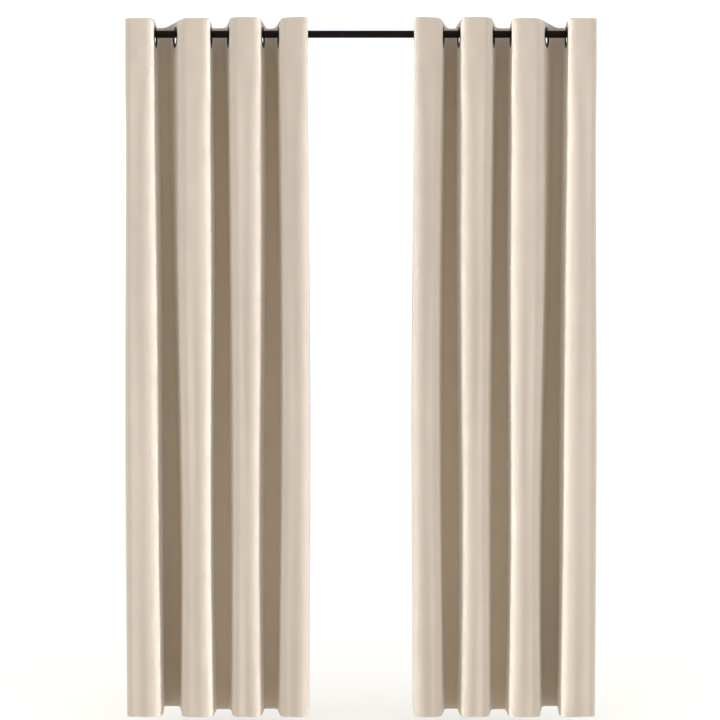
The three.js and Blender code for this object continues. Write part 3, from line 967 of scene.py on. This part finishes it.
SCREW_SHANK = 2.35 * MM  # radius
SCREW_HEAD, SCREW_DOME = 2.6 * MM, 1.6 * MM  # height of the head, and the rounding of its edge
SCREW_CHAMFER = 0.3 * MM  # under the head's edge
SCREW_CROWN = 0.05 * MM  # height of the head's nearly flat middle
SCREW_CROWN_SHARE = 0.4  # of the head's radius, where that middle starts
RECESS_DEPTH, RECESS_WIDTH, RECESS_SLOT = 1.2 * MM, 4.4 * MM, 0.9 * MM
SCREW_SIDES = 64


def knurled_screw(side):
    """A thumb screw with a fluted head and a threaded shank."""
    node = f"{side}_set_screw"
    low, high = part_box(node)
    centre, length = node_centre(node), high.y - low.y
    shank = length - GRIP_LENGTH
    pitch = shank / THREAD_TURNS
    profile = [(0, 0), (TIP, 0)]
    for k in range(THREAD_TURNS):
        x = pitch * (k + 0.5)
        profile += [(ROOT, x - pitch * THREAD_FLANK), (CREST, x)]
    profile += [(ROOT, shank), (GRIP_END, shank), (GRIP, shank + GRIP_BACK_BEVEL)]
    profile += [(GRIP, length - GRIP_FRONT_BEVEL), (GRIP_END, length)]
    profile += [(GRIP / 2, length - GRIP_DISH), (0, length - GRIP_DISH)]

    def flute(x):
        return FLUTE_DEPTH if shank + FLUTE_INSET < x < length - FLUTE_INSET else 0.0

    screw = lathe(f"{side}_thumb_screw", profile, KNURLED_SIDES, flute)
    screw.data.transform(Matrix.Translation((centre.x, high.y, centre.z)) @ TOWARDS_ROOM)
    finished(screw, node, "screw_steel", node)


def wall_screw(side, place):
    """A pan-head screw with a cross recess."""
    node = f"{side}_wall_screw_{place}"
    low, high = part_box(node)
    centre, length = node_centre(node), high.y - low.y
    radius, shank = (high.x - low.x) / 2, length - SCREW_HEAD
    profile = [(0, 0), (SCREW_SHANK, 0), (SCREW_SHANK, shank), (radius - SCREW_CHAMFER, shank)]
    profile += arc_points((radius - SCREW_DOME, length - SCREW_DOME), SCREW_DOME, 0, 75, steps=7)
    profile += [(radius * SCREW_CROWN_SHARE, length - SCREW_CROWN), (0, length)]
    screw = lathe(f"{side}_screw_{place}", profile, SCREW_SIDES)
    blades = []
    for turn in (0, math.pi / 2):
        bpy.ops.mesh.primitive_cube_add(size=1)
        blade = bpy.context.object
        blade.data.transform(Matrix.Diagonal((2 * RECESS_DEPTH, RECESS_WIDTH, RECESS_SLOT, 1)))
        blade.data.transform(Matrix.Translation((length, 0, 0)) @ Matrix.Rotation(turn, 4, "X"))
        blades.append(blade)
    cut(screw, *blades)
    screw.data.transform(Matrix.Translation((centre.x, high.y, centre.z)) @ TOWARDS_ROOM)
    finished(screw, "brackets", "screw_steel", node)


def make_bracket(side):
    wall_plate(side)
    bracket_arm(side)
    knurled_screw(side)
    for place in ("upper", "lower"):
        wall_screw(side, place)


# ---- Studio ----

CAMERA_DISTANCE = 4.0  # to the rod
CAMERA_SHIFT = -3 * MM  # from the middle of the rod
EYE_HEIGHT = -1.007  # half-way down the panels
LENS, SENSOR = 64.7, 36.0  # in the camera's own millimetres
FAR = 100
FLOOR_REACH = 30
FLOOR_DROP = 60 * MM  # below the hems
LIGHT_HEIGHT = 2.6  # of each light's own shape

SKY = (0.96, 1.01, 1.09)
SKY_STRENGTH = 1.12
WARM = (0.79, 0.495, 0.12)
WARM_HEIGHT = math.radians(16)  # above level, of the middle of the warm patch
WARM_EDGE = (math.radians(31), math.radians(21))  # from its middle, where it starts and where it is full


def make_camera():
    """A camera straight in front of the curtains."""
    camera = bpy.data.cameras.new("camera")
    camera.lens, camera.sensor_width = LENS, SENSOR
    camera.clip_end = FAR
    obj = link(bpy.data.objects.new("camera", camera))
    obj.location = (CAMERA_SHIFT, ROD_AXIS.y - CAMERA_DISTANCE, EYE_HEIGHT)
    obj.rotation_euler = (math.pi / 2, 0, 0)
    bpy.context.scene.camera = obj


def make_floor():
    z = PANEL_LOW.z - FLOOR_DROP
    corners = [(x * FLOOR_REACH, y * FLOOR_REACH, z) for x, y in ((-1, -1), (1, -1), (1, 1), (-1, 1))]
    floor = new_object("floor", corners, [(0, 1, 2, 3)])
    floor.data.materials.append(pale_floor())


def softbox(name, x, y, aim_x, width, power):
    """An upright light at eye height, aimed at the fronts of the folds at aim_x, and itself unseen."""
    light = bpy.data.lights.new(name, "AREA")
    light.shape = "RECTANGLE"
    light.size, light.size_y = width, LIGHT_HEIGHT
    light.energy = power
    obj = link(bpy.data.objects.new(name, light))
    obj.location = (x, y, EYE_HEIGHT)
    aim = Vector((aim_x, ROD_AXIS.y - FRONT_DEPTH, EYE_HEIGHT))
    obj.rotation_euler = (aim - obj.location).to_track_quat("-Z", "Y").to_euler()
    obj.visible_camera = False
    return light


def make_lights():
    """For each panel, a narrow strip beyond the other panel that brightens the inner edges of its front
    folds, and a wide fill beyond its own outer edge."""
    for side, sign in (("left", -1), ("right", 1)):
        strip = softbox(f"{side}_strip", x=-sign * 1.8, y=-0.5, aim_x=sign * 0.62, width=0.1, power=1.6)
        strip.spread = math.radians(6)
        softbox(f"{side}_fill", x=sign * 3.7, y=-1.0, aim_x=sign * 0.5, width=1.2, power=20)


def studio_world():
    """Even light from all round, but for a warm patch that faces the curtains and lights the insides of
    their folds, as a room does. The patch itself stays unseen."""
    world = bpy.data.worlds.new("studio")
    sky = Shader(world, "Background")
    direction = sky.node("ShaderNodeTexCoord").outputs["Generated"]
    middle = (0, -math.cos(WARM_HEIGHT), math.sin(WARM_HEIGHT))
    nearness = sky.node("ShaderNodeVectorMath", {0: direction, 1: middle}, operation="DOT_PRODUCT")
    start, full = (math.cos(angle) for angle in WARM_EDGE)
    patch = sky.node("ShaderNodeMapRange", {0: nearness.outputs["Value"], 1: start, 2: full}).outputs[0]
    seen = sky.node("ShaderNodeLightPath").outputs["Is Camera Ray"]
    share = sky.math("MULTIPLY", patch, sky.math("SUBTRACT", 1.0, seen))
    sky.wire(sky.blend(share, SKY, WARM), "Color")
    sky.set("Strength", SKY_STRENGTH)
    return world


def make_studio():
    make_floor()
    make_lights()
    bpy.context.scene.world = studio_world()
    bpy.context.scene.view_settings.view_transform = "Standard"


make_rod()
for side in ("left", "right"):
    make_bracket(side)
    make_grommets(side)
    make_panel(side)
make_camera()
make_studio()
